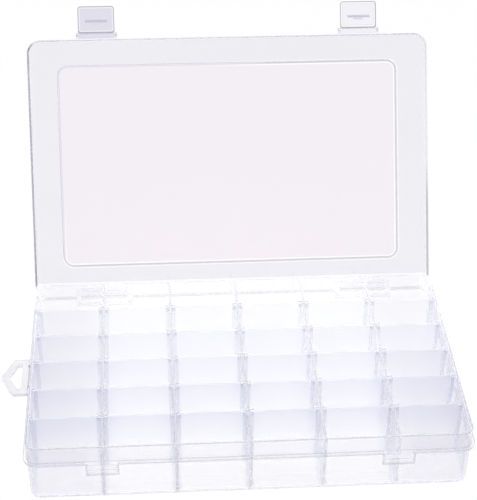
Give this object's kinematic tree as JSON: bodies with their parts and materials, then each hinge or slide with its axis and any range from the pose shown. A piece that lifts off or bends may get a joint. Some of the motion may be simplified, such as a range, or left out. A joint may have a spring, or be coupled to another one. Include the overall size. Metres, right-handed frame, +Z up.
{
  "type": "stackable compartment organizer",
  "caption": "Clear hinged-lid storage box with fixed walls, lift-out dividers, two snap latches, a folding hanging loop and a stacking lid.",
  "frame": {"origin": "on the table, under the middle of the tray", "axes": "+X along the tray's long side to the right, +Y from the front to the hinges, +Z up"},
  "size_m": [0.2915, 0.2682, 0.2023],
  "materials": {
    "clear_plastic": "clear polypropylene with a faint violet tint, gloss",
    "divider_plastic": "clear polypropylene, gloss, slightly hazy",
    "milky_plastic": "milky translucent polypropylene, satin gloss"
  },
  "bodies": {
    "tray": {"tray": "clear_plastic"},
    "lid": {"lid": "clear_plastic"},
    "latch_left": {"latch_left": "clear_plastic"},
    "latch_right": {"latch_right": "clear_plastic"},
    "hang_hook": {"hang_hook": "milky_plastic"},
    "divider_column1_row1": {"divider_column1_row1": "divider_plastic"},
    "divider_column1_row2": {"divider_column1_row2": "divider_plastic"},
    "divider_column1_row3": {"divider_column1_row3": "divider_plastic"},
    "divider_column1_row4": {"divider_column1_row4": "divider_plastic"},
    "divider_column1_row5": {"divider_column1_row5": "divider_plastic"},
    "divider_column2_row1": {"divider_column2_row1": "divider_plastic"},
    "divider_column2_row2": {"divider_column2_row2": "divider_plastic"},
    "divider_column2_row3": {"divider_column2_row3": "divider_plastic"},
    "divider_column2_row4": {"divider_column2_row4": "divider_plastic"},
    "divider_column2_row5": {"divider_column2_row5": "divider_plastic"},
    "divider_column3_row1": {"divider_column3_row1": "divider_plastic"},
    "divider_column3_row2": {"divider_column3_row2": "divider_plastic"},
    "divider_column3_row3": {"divider_column3_row3": "divider_plastic"},
    "divider_column3_row4": {"divider_column3_row4": "divider_plastic"},
    "divider_column3_row5": {"divider_column3_row5": "divider_plastic"},
    "divider_column4_row1": {"divider_column4_row1": "divider_plastic"},
    "divider_column4_row2": {"divider_column4_row2": "divider_plastic"},
    "divider_column4_row3": {"divider_column4_row3": "divider_plastic"},
    "divider_column4_row4": {"divider_column4_row4": "divider_plastic"},
    "divider_column4_row5": {"divider_column4_row5": "divider_plastic"},
    "divider_column5_row1": {"divider_column5_row1": "divider_plastic"},
    "divider_column5_row2": {"divider_column5_row2": "divider_plastic"},
    "divider_column5_row3": {"divider_column5_row3": "divider_plastic"},
    "divider_column5_row4": {"divider_column5_row4": "divider_plastic"},
    "divider_column5_row5": {"divider_column5_row5": "divider_plastic"},
    "divider_column6_row1": {"divider_column6_row1": "divider_plastic"},
    "divider_column6_row2": {"divider_column6_row2": "divider_plastic"},
    "divider_column6_row3": {"divider_column6_row3": "divider_plastic"},
    "divider_column6_row4": {"divider_column6_row4": "divider_plastic"},
    "divider_column6_row5": {"divider_column6_row5": "divider_plastic"}
  },
  "joints": [
    {"name": "lid_hinge", "type": "hinge", "parent": "tray", "child": "lid", "pos_m": [0, 0.0884, 0.0311], "axis": [-1, 0, 0], "range_deg": [-118.4, 0]},
    {"name": "latch_left_pivot", "type": "hinge", "parent": "lid", "child": "latch_left", "pos_m": [-0.0895, 0.1742, 0.18411], "axis": [-1, 0, 0], "range_deg": [-90, 90]},
    {"name": "latch_right_pivot", "type": "hinge", "parent": "lid", "child": "latch_right", "pos_m": [0.0895, 0.1742, 0.18411], "axis": [-1, 0, 0], "range_deg": [-90, 90]},
    {"name": "hang_hook_pivot", "type": "hinge", "parent": "tray", "child": "hang_hook", "pos_m": [-0.1366, 0, 0.0296], "axis": [0, 1, 0], "range_deg": [-90, 0]},
    {"name": "divider_column1_row1_lift", "type": "slide", "parent": "tray", "child": "divider_column1_row1", "axis": [0, 0, 1], "range_m": [0, 0.04]},
    {"name": "divider_column1_row2_lift", "type": "slide", "parent": "tray", "child": "divider_column1_row2", "axis": [0, 0, 1], "range_m": [0, 0.04]},
    {"name": "divider_column1_row3_lift", "type": "slide", "parent": "tray", "child": "divider_column1_row3", "axis": [0, 0, 1], "range_m": [0, 0.04]},
    {"name": "divider_column1_row4_lift", "type": "slide", "parent": "tray", "child": "divider_column1_row4", "axis": [0, 0, 1], "range_m": [0, 0.04]},
    {"name": "divider_column1_row5_lift", "type": "slide", "parent": "tray", "child": "divider_column1_row5", "axis": [0, 0, 1], "range_m": [0, 0.04]},
    {"name": "divider_column2_row1_lift", "type": "slide", "parent": "tray", "child": "divider_column2_row1", "axis": [0, 0, 1], "range_m": [0, 0.04]},
    {"name": "divider_column2_row2_lift", "type": "slide", "parent": "tray", "child": "divider_column2_row2", "axis": [0, 0, 1], "range_m": [0, 0.04]},
    {"name": "divider_column2_row3_lift", "type": "slide", "parent": "tray", "child": "divider_column2_row3", "axis": [0, 0, 1], "range_m": [0, 0.04]},
    {"name": "divider_column2_row4_lift", "type": "slide", "parent": "tray", "child": "divider_column2_row4", "axis": [0, 0, 1], "range_m": [0, 0.04]},
    {"name": "divider_column2_row5_lift", "type": "slide", "parent": "tray", "child": "divider_column2_row5", "axis": [0, 0, 1], "range_m": [0, 0.04]},
    {"name": "divider_column3_row1_lift", "type": "slide", "parent": "tray", "child": "divider_column3_row1", "axis": [0, 0, 1], "range_m": [0, 0.04]},
    {"name": "divider_column3_row2_lift", "type": "slide", "parent": "tray", "child": "divider_column3_row2", "axis": [0, 0, 1], "range_m": [0, 0.04]},
    {"name": "divider_column3_row3_lift", "type": "slide", "parent": "tray", "child": "divider_column3_row3", "axis": [0, 0, 1], "range_m": [0, 0.04]},
    {"name": "divider_column3_row4_lift", "type": "slide", "parent": "tray", "child": "divider_column3_row4", "axis": [0, 0, 1], "range_m": [0, 0.04]},
    {"name": "divider_column3_row5_lift", "type": "slide", "parent": "tray", "child": "divider_column3_row5", "axis": [0, 0, 1], "range_m": [0, 0.04]},
    {"name": "divider_column4_row1_lift", "type": "slide", "parent": "tray", "child": "divider_column4_row1", "axis": [0, 0, 1], "range_m": [0, 0.04]},
    {"name": "divider_column4_row2_lift", "type": "slide", "parent": "tray", "child": "divider_column4_row2", "axis": [0, 0, 1], "range_m": [0, 0.04]},
    {"name": "divider_column4_row3_lift", "type": "slide", "parent": "tray", "child": "divider_column4_row3", "axis": [0, 0, 1], "range_m": [0, 0.04]},
    {"name": "divider_column4_row4_lift", "type": "slide", "parent": "tray", "child": "divider_column4_row4", "axis": [0, 0, 1], "range_m": [0, 0.04]},
    {"name": "divider_column4_row5_lift", "type": "slide", "parent": "tray", "child": "divider_column4_row5", "axis": [0, 0, 1], "range_m": [0, 0.04]},
    {"name": "divider_column5_row1_lift", "type": "slide", "parent": "tray", "child": "divider_column5_row1", "axis": [0, 0, 1], "range_m": [0, 0.04]},
    {"name": "divider_column5_row2_lift", "type": "slide", "parent": "tray", "child": "divider_column5_row2", "axis": [0, 0, 1], "range_m": [0, 0.04]},
    {"name": "divider_column5_row3_lift", "type": "slide", "parent": "tray", "child": "divider_column5_row3", "axis": [0, 0, 1], "range_m": [0, 0.04]},
    {"name": "divider_column5_row4_lift", "type": "slide", "parent": "tray", "child": "divider_column5_row4", "axis": [0, 0, 1], "range_m": [0, 0.04]},
    {"name": "divider_column5_row5_lift", "type": "slide", "parent": "tray", "child": "divider_column5_row5", "axis": [0, 0, 1], "range_m": [0, 0.04]},
    {"name": "divider_column6_row1_lift", "type": "slide", "parent": "tray", "child": "divider_column6_row1", "axis": [0, 0, 1], "range_m": [0, 0.04]},
    {"name": "divider_column6_row2_lift", "type": "slide", "parent": "tray", "child": "divider_column6_row2", "axis": [0, 0, 1], "range_m": [0, 0.04]},
    {"name": "divider_column6_row3_lift", "type": "slide", "parent": "tray", "child": "divider_column6_row3", "axis": [0, 0, 1], "range_m": [0, 0.04]},
    {"name": "divider_column6_row4_lift", "type": "slide", "parent": "tray", "child": "divider_column6_row4", "axis": [0, 0, 1], "range_m": [0, 0.04]},
    {"name": "divider_column6_row5_lift", "type": "slide", "parent": "tray", "child": "divider_column6_row5", "axis": [0, 0, 1], "range_m": [0, 0.04]}
  ]
}
